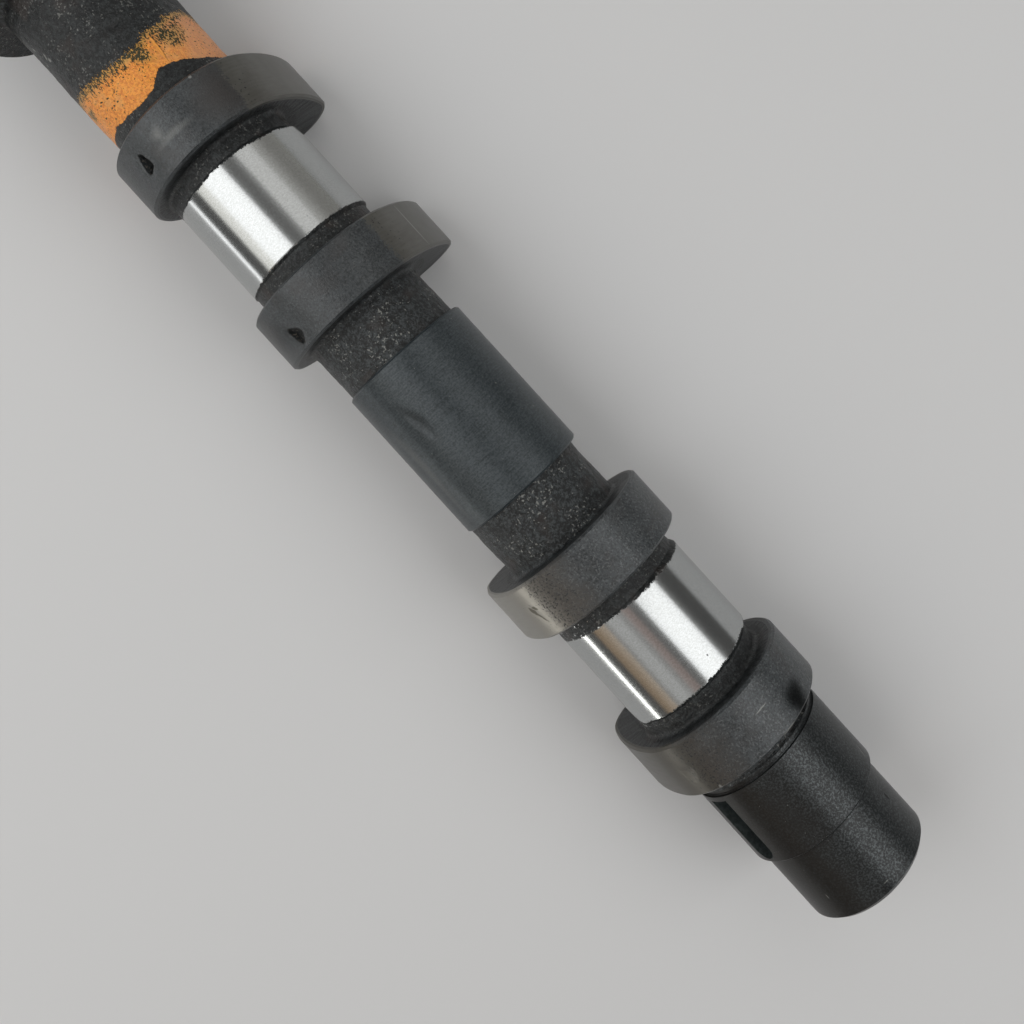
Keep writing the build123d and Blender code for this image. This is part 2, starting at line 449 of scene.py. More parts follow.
# %% Cam outline and cast lumps
SHAPE_INPUTS = {
    "Base Radius": BASE_R, "Lift": LIFT, "Tip Radius": TIP_R, "Flank Radius": FLANK_R,
    "Ground Radius": JOURNAL_R, "Sideways": 0.36, "Grain Size": 1.7, "Grain Depth": 0.2,
    "Swell Size": 9.0, "Swell Depth": 0.32, "Seed": 7.0,
}
NOISE_GAIN = 2.4


def cam_reach(tree, angle, base, lift, tip, flank):
    """Distance from the axis to a cam's outline, at an angle from its tip."""
    offset = base + lift - tip
    to_base, to_tip = flank - base, flank - tip
    across = (to_base * to_base - to_tip * to_tip + offset * offset) / (offset * 2)
    below = (to_base * to_base - across * across).math("SQRT")
    cosine, sine = angle.math("COSINE"), angle.math("SINE")
    along = across * cosine - below * sine
    on_flank = along + (flank * flank - to_base * to_base + along * along).math("SQRT")
    side = offset * sine
    on_tip = offset * cosine + (tip * tip - side * side).math("MAXIMUM", 0.0).math("SQRT")
    flank_ends = below.math("ARCTAN2", across * -1)
    touch_x = offset + (offset - across) / to_tip * tip
    touch_y = below / to_tip * tip
    tip_ends = touch_y.math("ARCTAN2", touch_x)
    on_lobe = base + (angle < flank_ends) * (on_flank - base)
    return on_lobe + (angle < tip_ends) * (on_tip - on_flank)


def lumps(tree, place, size, seed, detail=2.0):
    """Noise from about -1 to 1, with lumps of a given size in millimetres."""
    settings = {"noise_dimensions": "4D"}
    values = {"Vector": place, "W": seed, "Scale": 1.0 / size, "Detail": detail}
    return (tree.node("ShaderNodeTexNoise", settings, values) - 0.5) * NOISE_GAIN


def point_value(tree, name):
    """A number that the rings left on the points."""
    return tree.node("GeometryNodeInputNamedAttribute", {"data_type": "FLOAT"}, {"Name": name})


print("a cam is", 2 * BASE_R, "mm across its base circle and lifts", LIFT)

# %% Shaping tree
def shaping_tree(finishes):
    """Modifier tree that turns the sleeve into the casting, with its finishes set."""
    tree, given = open_group("cast_and_grind", SHAPE_INPUTS)
    x = tree.node("ShaderNodeSeparateXYZ", {}, [tree.node("GeometryNodeInputPosition")]) / MM
    turn, tip = point_value(tree, "turn"), point_value(tree, "tip")
    away = (turn - tip).math("WRAP", math.pi, -math.pi).math("ABSOLUTE")
    sizes = [given[name] for name in ("Base Radius", "Lift", "Tip Radius", "Flank Radius")]
    reach = cam_reach(tree, away, *sizes) - point_value(tree, "inset_mm")
    bar, raw = point_value(tree, "bar_mm"), point_value(tree, "raw")
    drawn = bar + (reach - bar) * point_value(tree, "share")
    sine, cosine = turn.math("SINE"), turn.math("COSINE")
    place = tree.node("ShaderNodeCombineXYZ", {}, [x, sine * drawn, cosine * drawn])
    swell = lumps(tree, place, given["Swell Size"], given["Seed"]) * given["Swell Depth"]
    grain = lumps(tree, place, given["Grain Size"], given["Seed"] + 3, 4.0) * given["Grain Depth"]
    cast = drawn + raw * (swell + grain + given["Sideways"] * sine)
    stock = cast - given["Ground Radius"]
    is_ground = point_value(tree, "ground")
    radius = cast - is_ground * stock.math("MAXIMUM", 0.0)
    shaped = tree.node("ShaderNodeCombineXYZ", {}, [x, sine * radius, cosine * radius])
    scaled = {"Vector": shaped, "Scale": MM}
    metres = tree.node("ShaderNodeVectorMath", {"operation": "SCALE"}, scaled)
    moved = {"Geometry": given["Geometry"], "Position": metres}
    body = tree.node("GeometryNodeSetPosition", {}, moved)
    kept = {"stock": is_ground * (stock + 1.0) - 1.0, "away": away, "side": reach - drawn}
    for name, value in kept.items():
        settings = {"data_type": "FLOAT", "domain": "POINT"}
        body = tree.node("GeometryNodeStoreNamedAttribute", settings,
                         {"Geometry": body, "Name": name, "Value": value})
    body = tree.node("GeometryNodeRealizeInstances", {}, {"Geometry": body})
    finish = tree.node("GeometryNodeInputNamedAttribute", {"data_type": "INT"}, {"Name": "finish"})
    for number, material in sorted(finishes.items()):
        settings = {"data_type": "INT", "operation": "EQUAL"}
        chosen = tree.node("FunctionNodeCompare", settings, {2: finish, 3: number})
        body = tree.node("GeometryNodeSetMaterial", {},
                         {"Geometry": body, "Selection": chosen, "Material": material})
    return close_group(tree, body)


print("the shaping tree takes", len(SHAPE_INPUTS), "numbers")

# %% [markdown]
# ## Finishes
# The iron wears seven finishes, and each is a recipe of noises measured in millimetres. Places
# come from Object coordinates, so the patterns stay on the metal. What follows the shape, such
# as the height of stock over the grinding size or the angle from a cam's tip, comes from the
# numbers that the shaping tree left on the points.

# %% A finish and its shared ingredients
class Finish(Tree):
    """One material, with its places in millimetres and the noises that the finishes share."""

    def __init__(self, name):
        self.material = bpy.data.materials.new(name)
        self.material.use_nodes = True
        super().__init__(self.material.node_tree)
        self.shader = self.group.nodes["Principled BSDF"]
        coordinates = self.node("ShaderNodeTexCoord", output=3)
        scaled = {"Vector": coordinates, "Scale": 1 / MM}
        self.place = self.node("ShaderNodeVectorMath", {"operation": "SCALE"}, scaled)
        self.x, self.y, self.z = (
            self.node("ShaderNodeSeparateXYZ", {}, [self.place], output=axis) for axis in range(3)
        )
        self.turn = self.y.math("ARCTAN2", self.z)

    def kept(self, name):
        """A number stored on the points, such as the angle from a cam's tip."""
        return self.node("ShaderNodeAttribute", {"attribute_name": name}, output=2)

    def noise(self, size, detail=2.0, seed=0.0, squeeze=(1, 1, 1), rough=0.5):
        """Noise from 0 to 1, lumps of a size in millimetres, squeezed along each axis."""
        values = [self.place, squeeze]
        vector = self.node("ShaderNodeVectorMath", {"operation": "MULTIPLY"}, values)
        values = {"Vector": vector, "W": seed, "Scale": 1 / size, "Detail": detail,
                  "Roughness": rough}
        return self.node("ShaderNodeTexNoise", {"noise_dimensions": "4D"}, values)

    def mix(self, share, low, high):
        """Colour that goes from low to high with a share from 0 to 1."""
        ends = [colour if isinstance(colour, Wire) else (*colour, 1) for colour in (low, high)]
        values = {0: share, 6: ends[0], 7: ends[1]}
        return self.node("ShaderNodeMix", {"data_type": "RGBA"}, values, output=2)

    def blend(self, share, low, high):
        """Number that goes from low to high with a share from 0 to 1."""
        return self.node("ShaderNodeMix", {"data_type": "FLOAT"}, {0: share, 2: low, 3: high})

    def mark(self, x, degrees, length, width, tilt=0.0, waver=0.15):
        """Share of a small oval mark with a crisp, slightly wavering edge: station, angle in
        degrees, half length, half width, tilt in degrees and how far the edge wavers."""
        reach = (self.y * self.y + self.z * self.z).math("SQRT")
        along = self.x - x + (self.noise(0.7, 2.0, x) - 0.5) * waver
        across = (self.turn - math.radians(degrees)) * reach
        across = across + (self.noise(0.5, 2.0, x) - 0.5) * waver
        lean = math.radians(tilt)
        long = (along * math.cos(lean) + across * math.sin(lean)) / length
        short = (across * math.cos(lean) - along * math.sin(lean)) / width
        return 1 - self.smooth(long * long + short * short, 0.35, 1.0)

    def marks(self, places):
        """The strongest of several marks."""
        first, *others = [self.mark(*place) for place in places.values()]
        for other in others:
            first = first.math("MAXIMUM", other)
        return first

    def wear(self, colour, rough, metal, height, depth):
        """Wires the finish to the shader, with height as relief of a depth in millimetres."""
        values = {"Strength": 1.0, "Distance": depth * MM, "Height": height}
        normal = self.node("ShaderNodeBump", {}, values)
        links = {"Base Color": colour, "Roughness": rough, "Metallic": metal, "Normal": normal}
        for name, value in links.items():
            self.group.links.new(value.socket, self.shader.inputs[name])
        return self.material


def made(material):
    """The finish itself, once its size is printed."""
    print(material.name, len(material.node_tree.nodes), "nodes")
    return material


finishes = {}
print("finishes are written in millimetres, from 1 / MM =", 1 / MM)

# %% [markdown]
# Raw iron from a sand mould is nearly black once it is coated. Its skin is a crowd of small
# lumps with pale flakes where they have been rubbed, and a brownish bloom here and there. The
# hollows between the lumps are painted black and their tops grey, as painted shade.

# %% Raw cast skin
BLACK_SKIN, GREY_SKIN = (0.0045, 0.0055, 0.006), (0.049, 0.057, 0.060)
DARK_GREY_SKIN = (0.031, 0.036, 0.037)
BROWN_BLOOM, PALE_FLAKE = (0.034, 0.023, 0.019), (0.26, 0.265, 0.25)


def cast_skin(f, grey=GREY_SKIN, flaked=1.0):
    """Colour, roughness, metalness and relief of the raw casting."""
    lumps_high, grit = f.noise(0.9, 4.0, 1.0, rough=0.75), f.noise(0.3, 2.0, 2.0)
    cloud = f.noise(6.0, 2.0, 3.0)
    # Painted shade: the colour follows the relief, black in the low parts of the lumps and grey on
    # their tops.
    tone = f.smooth(lumps_high * 0.6 + grit * 0.4, 0.45, 0.60)
    colour = f.mix(tone, BLACK_SKIN, grey)
    colour = f.mix(f.smooth(cloud, 0.52, 0.7) * 0.55, colour, BROWN_BLOOM)
    crowd = f.smooth(f.noise(6.5, 1.0, 5.0), 0.42, 0.60)
    flakes = f.smooth(f.noise(0.42, 1.0, 4.0) + crowd * 0.09, 0.69, 0.76) * flaked
    colour = f.mix(flakes * 0.8, colour, PALE_FLAKE)
    # Painted shade: the dents and the kept shade marks, such as the cracks, turn black.
    painted_shade_mask = f.smooth(f.kept("painted_shade_mask") + (grit - 0.5) * 0.6, 0.2, 0.45)
    colour = f.mix(painted_shade_mask.math("MAXIMUM", f.kept("shade") * 0.85), colour, BLACK_SKIN)
    rough = 0.34 + grit * 0.22
    metal = f.blend(painted_shade_mask, 0.12 + flakes * 0.5, 1.0)
    relief = lumps_high * 0.72 + grit * 0.28
    return colour, rough, metal, relief


def raw_iron():
    """The bars, roots and cast walls."""
    f = Finish("raw_iron")
    colour, rough, metal, relief = cast_skin(f)
    return f.wear(colour, rough, metal, relief, depth=0.42)


finishes[RAW] = made(raw_iron())

# %% [markdown]
# A bearing band is ground bright. The wheel leaves short scratches that run round the shaft, so
# the band mirrors the studio in long soft streaks. Its edge is where the lumpy stock falls
# below the grinding size, so the same number that cut the shape also colours it.

# %% Ground bearing
STEEL, STEEL_DULL, SPECK = (0.45, 0.462, 0.465), (0.38, 0.39, 0.385), (0.06, 0.06, 0.06)
WHEEL_SCRATCH, SPARKLE = (7.0, 0.3, 0.3), (1.7, 0.7, 0.7)
# A pit in the ground band, drawn only as a dark speck: its painted shade.
PIT_IN_BAND = (28.6, -21.2, 0.24, 0.19)


def ground_bearing():
    """Raw necks with a bright ground band between them."""
    f = Finish("ground_bearing")
    colour, rough, metal, relief = cast_skin(f, DARK_GREY_SKIN, 0.5)
    calm_edge = 1 - f.smooth((f.x - REAR_JOURNAL_X + JOURNAL_HALF).math("ABSOLUTE"), 2.0, 3.0)
    fray = (f.noise(0.5, 3.0, 11.0, rough=0.7) - 0.55) * (1.6 - calm_edge * 0.9)
    band = f.smooth(f.kept("stock") + fray, 0.03, 0.06)
    scratch = f.noise(1.0, 2.0, 12.0, WHEEL_SCRATCH, 0.6)
    sparkle = f.noise(0.24, 2.0, 13.0, SPARKLE)
    specks = f.smooth(f.noise(0.42, 1.0, 14.0), 0.79, 0.81).math("MAXIMUM", f.mark(*PIT_IN_BAND))
    steel = f.mix(f.smooth(sparkle, 0.35, 0.65), STEEL_DULL, STEEL)
    steel = f.mix(specks * 0.85, steel, SPECK)
    colour = f.mix(band, colour, steel)
    rough = f.blend(band, rough, 0.12 + scratch * 0.05 + sparkle * 0.05)
    metal = f.blend(band, metal, 1.0)
    relief = f.blend(band, relief, 0.5 + scratch * 0.007 + sparkle * 0.003)
    return f.wear(colour, rough, metal, relief, depth=0.4)


finishes[BEARING] = made(ground_bearing())

# %% [markdown]
# The lobes are ground too, and then the whole shaft is blackened with phosphate, a fine grey
# crystal skin. Running rubs it off the nose and the flanks. On the rear pair the rubbed part is
# dull and ends in a clear line. On the front pair it fades out through a brown speckle, and the
# lobe beside the barrel is rubbed bright. The flat sides stay dark, with the scratches of the
# cutter. Small scratches and chips are drawn in the finish, because they are finer than the mesh.

# %% Coated lobe
SLATE_DARK, SLATE = (0.021, 0.024, 0.026), (0.076, 0.085, 0.090)
SLATE_WARM, SLATE_GRAIN = (0.040, 0.035, 0.033), (0.150, 0.160, 0.163)
RUBBED, RUBBED_WARM = (0.120, 0.119, 0.108), (0.088, 0.084, 0.075)
BRIGHT_RUBBED, DULL_RUBBED = (0.27, 0.258, 0.232), (0.080, 0.075, 0.063)
BROWNED, PALE_BROWNED = (0.060, 0.052, 0.044), (0.092, 0.081, 0.069)
SCAR_BROWN = (0.070, 0.062, 0.046)
SIDE_DARK, SIDE_GREY = (0.008, 0.0095, 0.0105), (0.042, 0.046, 0.048)
SECOND_WORN_TO, TAIL_WORN_TO, FRONT_WORN_TO = 1.58, 1.68, 1.68
BRIGHT_LOBE_FROM = 40.0
RUN_STREAKS = (2.2, 0.25, 0.25)
LOBE_SCRATCHES = {
    "line_across_second_lobe": (119.15, -80.5, 5.7, 0.22, 0, 0.05),
    "chip_on_tail_lobe": (161.3, -21.7, 0.35, 0.35),
    "scratch_on_keyed_lobe": (16.9, -20.0, 0.14, 1.6),
    "edge_of_keyed_lobe": (10.95, -25.0, 0.25, 2.0),
    "chip_on_keyed_lobe": (11.2, 30.1, 0.5, 0.3),
}
SCAR = {
    "scar": (52.7, 46.9, 2.5, 0.28, 28, 0.5),
    "end_of_the_scar": (53.7, 48.6, 1.3, 0.6, 24, 0.6),
    "hook_of_the_scar": (54.2, 45.4, 0.9, 0.3, 55, 0.4),
}


def coated_lobe():
    """Running faces of the cams, dark over the base circle and rubbed at the nose."""
    f = Finish("coated_lobe")
    speckle, crystals = f.noise(0.42, 3.0, 21.0, rough=0.75), f.noise(0.25, 1.0, 22.0)
    cloud, drift = f.noise(5.0, 2.0, 23.0), f.noise(3.2, 3.0, 27.0, rough=0.6)
    front, bright = f.x < BARREL_X, f.x > BRIGHT_LOBE_FROM
    limit = SECOND_WORN_TO + (f.x > REAR_JOURNAL_X) * (TAIL_WORN_TO - SECOND_WORN_TO)
    limit = f.blend(front, limit, FRONT_WORN_TO)
    away = f.kept("away") + (cloud - 0.5) * 0.22
    past = away - limit
    spread = f.blend(1 - f.smooth(past, 0.1, 0.9), 0.125, 0.08)
    tone = f.smooth(speckle * 0.8 + drift * 0.2, 0.5 - spread, 0.5 + spread)
    slate = f.mix(tone, SLATE_DARK, SLATE)
    grains = f.smooth(f.noise(0.34, 2.0, 28.0), 0.53, 0.66)
    slate = f.mix((1 - front) * 0.22, slate, SLATE_DARK)
    slate = f.mix(grains * f.blend(front, 0.25, 0.6), slate, SLATE_GRAIN)
    warm = (f.smooth(cloud, 0.5, 0.68) * 0.3).math("MAXIMUM", f.kept("bloom") * 0.8)
    slate = f.mix(warm, slate, SLATE_WARM)
    streaks = f.noise(1.0, 3.0, 24.0, RUN_STREAKS)
    rubbed = f.mix(f.smooth(streaks * 0.5 + drift * 0.5, 0.3, 0.7), RUBBED_WARM, RUBBED)
    rubbed = f.mix(front, rubbed, f.mix(bright, DULL_RUBBED, BRIGHT_RUBBED))
    clear = 1 - f.smooth(past + (speckle - 0.5) * 0.25, -0.015, 0.02)
    fading = 1 - f.smooth(past + (speckle - 0.5) * 0.35, -0.10, 0.26)
    worn = f.blend(front, clear, fading)
    browned = front * (1 - f.smooth(past + (drift - 0.5) * 0.5, 0.2, 0.75))
    slate = f.mix(browned * 0.62, slate, f.mix(bright, BROWNED, PALE_BROWNED))
    border = 1 - f.smooth(past.math("ABSOLUTE"), 0.05, 0.42)
    black = f.smooth(f.noise(0.42, 1.0, 25.0), 0.66, 0.70) * border * (1 - front * 0.4)
    dark_specks = f.smooth(speckle, 0.52, 0.61) * browned * (1 - clear) * 0.85
    running = f.mix(black.math("MAXIMUM", dark_specks), f.mix(worn, slate, rubbed), SLATE_DARK)
    side = f.smooth(f.kept("side"), CHAMFER + 0.05, CHAMFER + 0.25)
    reach = (f.y * f.y + f.z * f.z).math("SQRT")
    spokes = f.node("ShaderNodeCombineXYZ", {}, [f.turn * 17, reach * 0.12, 0.0])
    values = {"Vector": spokes, "Scale": 1.0, "Detail": 3.0}
    cutter_lines = f.node("ShaderNodeTexNoise", {}, values)
    wall_tone = cutter_lines * 0.6 + f.noise(0.5, 3.0, 26.0, rough=0.7) * 0.4
    wall = f.mix(f.smooth(wall_tone, 0.40, 0.60), SIDE_DARK, SIDE_GREY)
    # Painted shade: the dents turn black inside, and the kept shade marks darken the end of the
    # second lobe. The dark patch on the keyed lobe is laid on the same way.
    painted_shade_mask = f.smooth(f.kept("painted_shade_mask") + (speckle - 0.5) * 0.4, 0.10, 0.26)
    shade = f.smooth(f.kept("shade") * (0.8 + drift * 0.4), 0.0, 0.9)
    colour = f.mix(f.kept("glow") * 0.35, f.mix(side, running, wall), PALE_FLAKE)
    colour = f.mix(f.marks(LOBE_SCRATCHES) * 0.75, colour, PALE_FLAKE)
    colour = f.mix(f.marks(SCAR) * 0.85, colour, SCAR_BROWN)
    colour = f.mix(shade * 0.9, colour, BLACK_SKIN)
    colour = f.mix(painted_shade_mask, colour, f.mix(f.smooth(speckle, 0.54, 0.66), BLACK_SKIN, BROWNED))
    worn_rough = 0.30 + streaks * 0.1
    glint = f.smooth(speckle, 0.5, 0.66)
    rough = f.blend(side, f.blend(worn, 0.28 + speckle * 0.18, worn_rough), 0.42)
    metal = f.blend(side, f.blend(worn, 0.08 + glint * 0.42, 0.5 + front * bright * 0.35), 0.15)
    metal = f.blend(painted_shade_mask.math("MAXIMUM", shade), metal, 0.9)
    relief = f.blend(worn, crystals * 0.5 + speckle * 0.5, 0.5 + streaks * 0.06)
    relief = f.blend(side, relief, wall_tone * 3.0)
    return f.wear(colour, rough, metal, relief, depth=0.1)


finishes[LOBE] = made(coated_lobe())

# %% [markdown]
# The barrel, the collar and the tail are turned on a lathe, then blackened. The tool leaves rings
# finer than a tenth of a millimetre, so they are relief and not mesh.

# %% Turned iron
TURNED_DARK, TURNED_LIGHT = (0.024, 0.031, 0.035), (0.063, 0.076, 0.083)
TOOL_RINGS, TOOL_STROKES = (7.0, 0.04, 0.04), (5.5, 0.5, 0.5)
BARREL_SPOTS = {
    "spot_on_barrel": (87.6, -45.4, 0.16, 0.16),
    "second_spot_on_barrel": (80.1, -60.0, 0.16, 0.16),
}


def turned_iron():
    """Blackened lathe work, with rings of the tool round it."""
    f = Finish("turned_iron")
    rings_high = f.noise(1.0, 2.0, 31.0, TOOL_RINGS, 0.6)
    strokes = f.noise(1.0, 1.0, 35.0, TOOL_STROKES)
    speckle, cloud = f.noise(0.34, 2.0, 32.0, rough=0.7), f.noise(7.0, 2.0, 33.0)
    tone = f.smooth(strokes * 0.3 + speckle * 0.58 + cloud * 0.12, 0.37, 0.63)
    colour = f.mix(tone, TURNED_DARK, TURNED_LIGHT)
    flakes = f.smooth(f.noise(0.33, 1.0, 34.0), 0.75, 0.78).math("MAXIMUM", f.marks(BARREL_SPOTS))
    colour = f.mix((flakes * 0.7).math("MAXIMUM", f.kept("glow") * 0.2), colour, PALE_FLAKE)
    # Painted shade beside the gouge on the barrel.
    colour = f.mix(f.kept("shade"), colour, BLACK_SKIN)
    rough = 0.30 + speckle * 0.12
    metal = 0.25 + flakes * 0.3
    relief = rings_high * 0.5 + speckle * 0.5
    return f.wear(colour, rough, metal, relief, depth=0.035)


finishes[TURNED] = made(turned_iron())

# %% [markdown]
# The seat and the nose are turned as well. The drive end has been handled most and lies smooth
# and nearly black, browner on one side. Its coat is full of fine crystals, each a small mirror,
# which glint only where a lamp stands behind the eye. The keyway keeps a greyer, matt coat.

# %% Drive end and keyway
DRIVE_COAT, DRIVE_BROWN = (0.0105, 0.0125, 0.0130), (0.0115, 0.0104, 0.0092)
GLINT = (0.092, 0.100, 0.103)
KEYWAY_DARK, KEYWAY_GREY = (0.020, 0.026, 0.026), (0.045, 0.055, 0.055)
# Scratches, a nick, and a painted highlight on the edge of a lip of the nose
DRIVE_SCRATCHES_AND_HIGHLIGHT = {
    "mark_on_nose": (-17.35, 40.2, 0.55, 0.10, 0, 0.05),
    "painted_highlight_of_the_lip": (-20.5, -6.4, 0.10, 0.6, 0, 0.3),
    "nick_on_seat": (-4.9, -71.5, 1.6, 0.16, -18, 0.2),
}
# Painted shade: a pit drawn only as a dark spot, and the shadow of the nick
DRIVE_PAINTED_SHADE = {
    "pit_on_nose": (-13.1, -60.4, 0.85, 0.38, 0, 0.2),
    "shadow_of_the_nick": (-4.6, -73.5, 1.8, 0.25, -18, 0.2),
}


def drive_coat():
    """Smooth dark coat of the seat and the nose, with crystals that glint."""
    f = Finish("drive_coat")
    f.shader.inputs["Specular IOR Level"].default_value = 0.3
    crystals, cloud = f.noise(0.36, 3.0, 36.0, rough=0.75), f.noise(7.0, 2.0, 33.0)
    rings_high = f.noise(1.0, 2.0, 31.0, TOOL_RINGS, 0.6)
    brown = f.smooth(f.turn.math("SINE") + (cloud - 0.5) * 1.1, -0.3, 0.5)
    glints = f.smooth(crystals, 0.44, 0.64) * (1 - brown * 0.8)
    colour = f.mix(glints, f.mix(brown, DRIVE_COAT, DRIVE_BROWN), GLINT)
    flakes = f.smooth(f.noise(0.33, 1.0, 34.0), 0.76, 0.79)
    # The marks add a painted highlight on the lip of the nose.
    flakes = flakes.math("MAXIMUM", f.marks(DRIVE_SCRATCHES_AND_HIGHLIGHT))
    colour = f.mix(flakes * 0.6, colour, PALE_FLAKE)
    # The painted shade of the pit and the nick, and the painted shadow below the lip, turn black.
    painted_shade_mask = f.marks(DRIVE_PAINTED_SHADE).math("MAXIMUM", f.kept("shade") * 0.7)
    colour = f.mix(painted_shade_mask, colour, BLACK_SKIN)
    rough = 0.30 + crystals * 0.12
    metal = glints.math("MAXIMUM", painted_shade_mask)
    return f.wear(colour, rough, metal, rings_high * 0.3 + crystals * 0.7, depth=0.03)


def milled_keyway():
    """Matt grey coat on the floor and walls of the keyway."""
    f = Finish("milled_keyway")
    tone = f.noise(0.6, 3.0, 37.0)
    colour = f.mix(f.smooth(tone, 0.35, 0.65), KEYWAY_DARK, KEYWAY_GREY)
    return f.wear(colour, 0.40 + tone * 0.1, tone * 0.1, tone, depth=0.02)


finishes[DRIVE] = made(drive_coat())
keyway_finish = made(milled_keyway())

# %% [markdown]
# A painted band marks the bar behind the last lobe. It was brushed on over the raw skin, so its
# outer edge breaks up on the lumps, and small pits show through it. A strip beside the lobe was
# left bare, and its border wanders.

# %% Painted bar
ORANGE, ORANGE_DEEP, SALMON = (1.0, 0.40, 0.060), (0.74, 0.225, 0.032), (0.74, 0.36, 0.20)
TAN, YELLOW_RIM, OLIVE_PIT = (0.78, 0.39, 0.12), (0.46, 0.32, 0.08), (0.042, 0.040, 0.014)
BRUSH = (0.7, 1.3, 1.3)
PAINT_RIDGE = (170.3, -23.7, 3.3, 0.42, -5.7, 0.25)
TAIL_CHIPS = {
    "chip_on_tail_bar": (187.8, 63.6, 0.5, 0.35, 0, 0.4),
    "chip_beside_it": (184.7, 56.3, 0.8, 0.3, -30, 0.4),
    "chip_nearest_the_paint": (183.6, 54.6, 0.5, 0.4, 0, 0.4),
}


def painted_bar():
    """Raw tail bar with a brushed band of orange paint."""
    f = Finish("painted_bar")
    colour, rough, metal, relief = cast_skin(f, DARK_GREY_SKIN, 0.65)
    colour = f.mix(f.marks(TAIL_CHIPS) * 0.8, colour, PALE_FLAKE)
    ridge = f.mark(*PAINT_RIDGE)
    grit = f.noise(0.5, 4.0, 42.0, rough=0.75)
    edge_near = f.smooth(f.kept("paint_near") + (grit - 0.5) * 1.1, -0.05, 0.05)
    far, scuff = f.kept("paint_far"), f.kept("scuff")
    edge_far = f.smooth(far + (grit - 0.5) * 5.5, -0.1, 0.1)
    strokes = f.noise(0.33, 2.0, 43.0, BRUSH, 0.6)
    thin = 1 - f.smooth(far + (f.noise(5.0, 2.0, 45.0) - 0.5) * 5.0, 0.4, 4.0)
    holes = f.smooth(f.noise(0.62, 1.0, 48.0), 0.675, 0.705)
    gaps = f.smooth(strokes + thin * 0.15 + scuff * 0.18, 0.635, 0.675)
    gaps = gaps.math("MAXIMUM", holes) * (1 - ridge)
    band = edge_near * edge_far
    paint = band * (1 - gaps)
    tone = f.mix(f.smooth(grit * 0.7 + strokes * 0.3, 0.42, 0.56), ORANGE_DEEP, ORANGE)
    tone = f.mix(f.smooth(f.noise(2.4, 3.0, 47.0), 0.48, 0.66) * 0.5, tone, TAN)
    # Painted sheen: the paint turns paler and more salmon on both sides of the bar and underneath.
    shift = (f.noise(4.0, 2.0, 46.0) - 0.5) * 0.9
    painted_sheen_on_sides = 1 - f.smooth(f.turn + shift, -0.9, -0.3) + f.smooth(f.turn + shift, 0.85, 1.3) * 0.6
    painted_sheen_on_sides = painted_sheen_on_sides + f.smooth(f.turn, 2.0, 3.0) * 0.4
    tone = f.mix(painted_sheen_on_sides * 0.6, tone, SALMON)
    rim = (1 - f.smooth(far, 0.3, 2.2)).math("MAXIMUM", scuff)
    tone = f.mix(rim * 0.6, tone, YELLOW_RIM)
    tone = f.mix(ridge * 0.7, tone, ORANGE)
    colour = f.mix(paint, f.mix(band * gaps, colour, OLIVE_PIT), tone)
    rough = f.blend(paint, rough, 0.42)
    metal = f.blend(paint, metal, 0.0)
    relief = relief * (1 - paint * 0.1) + paint * 0.25 + ridge * 0.7
    return f.wear(colour, rough, metal, relief, depth=0.4)


finishes[PAINTED] = made(painted_bar())

# %% Shape the casting
for number in sorted(finishes):
    sleeve.data.materials.append(finishes[number])
shaped = grown(sleeve, shaping_tree(finishes), SHAPE_INPUTS)
bpy.data.objects.remove(sleeve)
print("shaped", len(shaped.polygons), "faces from", len(rings), "rings")

# %% [markdown]
# ## Marks of use
# A few marks belong to this shaft alone: casting pits by two lobes, a scar across another, a
# gouge on the barrel, rubbed spots, a dark patch, and painted shade in the pits, the cracks, by
# the gouge, on the end of a lobe and below a lip. Each is a soft oval. Dents and hollows are
# pressed into the points, and every kind but the hollows is kept as a number, so that the finish
# changes in the same place. The border of the paint turns in a few places, and the distance to it
# is kept the same way.

# %% Dents and other marks
# Each gives station, angle in degrees, half length and half width, then its strength and its
# tilt in degrees, where they aren't 1 and 0. The length lies along the shaft when the tilt is 0.
# Dents and hollows are pressed in by their strength in millimetres, and dents are painted dark
# inside, as shade.
DENTS = {
    "pit_by_tail_lobe": (155.5, 36.4, 1.5, 1.4, 0.9, 20),
    "narrow_end_of_the_pit": (156.7, 35.4, 1.8, 1.1, 0.75, 12),
    "pit_by_second_lobe": (116.8, 38.6, 2.6, 1.8, 0.55, 20),
    "gouge_on_barrel": (91.2, 22.5, 4.6, 1.3, 0.3, 12),
}
HOLLOWS = {
    "dip_of_the_scar": (52.9, 47.2, 2.9, 0.8, 0.05, 28),
    "blemish_on_keyed_lobe": (15.6, 42.6, 1.8, 1.5, 0.12, 20),
    "crack_on_tail_bar": (177.9, -9.0, 0.8, 2.6, 0.35),
    "crack_by_the_paint": (177.9, 43.5, 0.8, 1.5, 0.3),
}
# Painted shade in the cracks, beside the gouge, on the end of the second lobe and below the nose's
# lip, and a dark patch on the keyed lobe
PAINTED_SHADE_AND_DARK_PATCH = {
    "dark_patch_on_keyed_lobe": (12.9, -43.0, 4.2, 3.4, 0.9, -24),
    "painted_shade_of_the_gouge": (91.6, 24.5, 4.8, 1.6, 0.35, 12),
    "painted_shade_on_second_lobe_end": (118.6, 50.0, 5.5, 5.5, 0.35),
    "crack_on_tail_bar": (177.9, -9.0, 0.9, 2.8, 0.8),
    "crack_by_the_paint": (178.2, 50.0, 0.8, 2.4, 0.8),
    "painted_shadow_below_the_lip": (-21.4, -6.0, 0.9, 2.0, 0.9),
}
GLOWS = {
    "light_spot_on_tail_lobe": (157.6, 15.4, 1.8, 1.5),
    "streak_on_tail_lobe": (155.8, 8.0, 0.8, 5.0),
    "streak_on_barrel": (84.0, 51.0, 13.0, 1.4),
}
